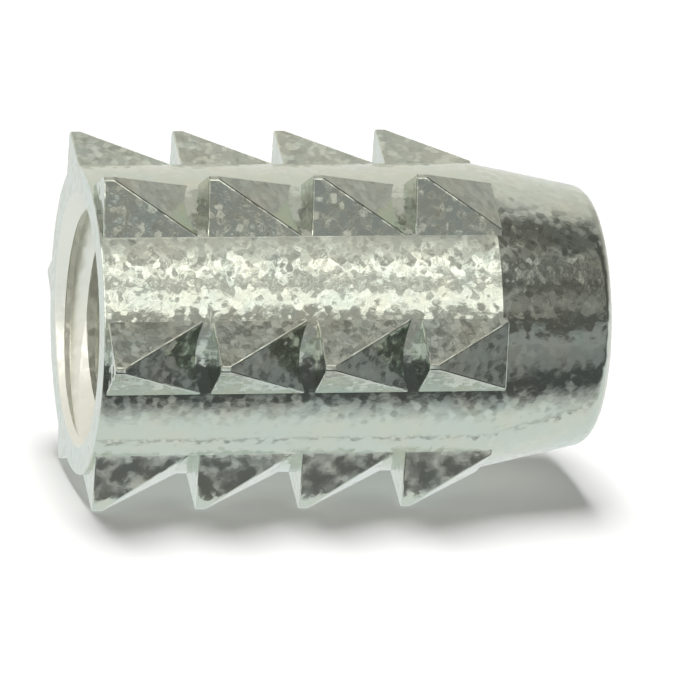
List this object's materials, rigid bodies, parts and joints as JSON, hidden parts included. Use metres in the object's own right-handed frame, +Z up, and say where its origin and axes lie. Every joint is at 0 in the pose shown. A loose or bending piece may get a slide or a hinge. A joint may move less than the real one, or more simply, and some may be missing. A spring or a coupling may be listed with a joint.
{
  "type": "threaded insert",
  "caption": "Press-in threaded insert for wood: a round zinc body with rows of sloping barbs, a tapered nose and an internal machine thread.",
  "frame": {"origin": "on the surface that the insert lies on, below the middle of its length and width", "axes": "+X along the thread's axis from the open end to the nose, +Z up with the insert lying on two rows of barbs"},
  "size_m": [0.013, 0.0098, 0.0086],
  "materials": {
    "zinc": "bright zinc with a clear passivation, lightly grained"
  },
  "bodies": {
    "root": {"insert_body": "zinc"}
  },
  "joints": []
}
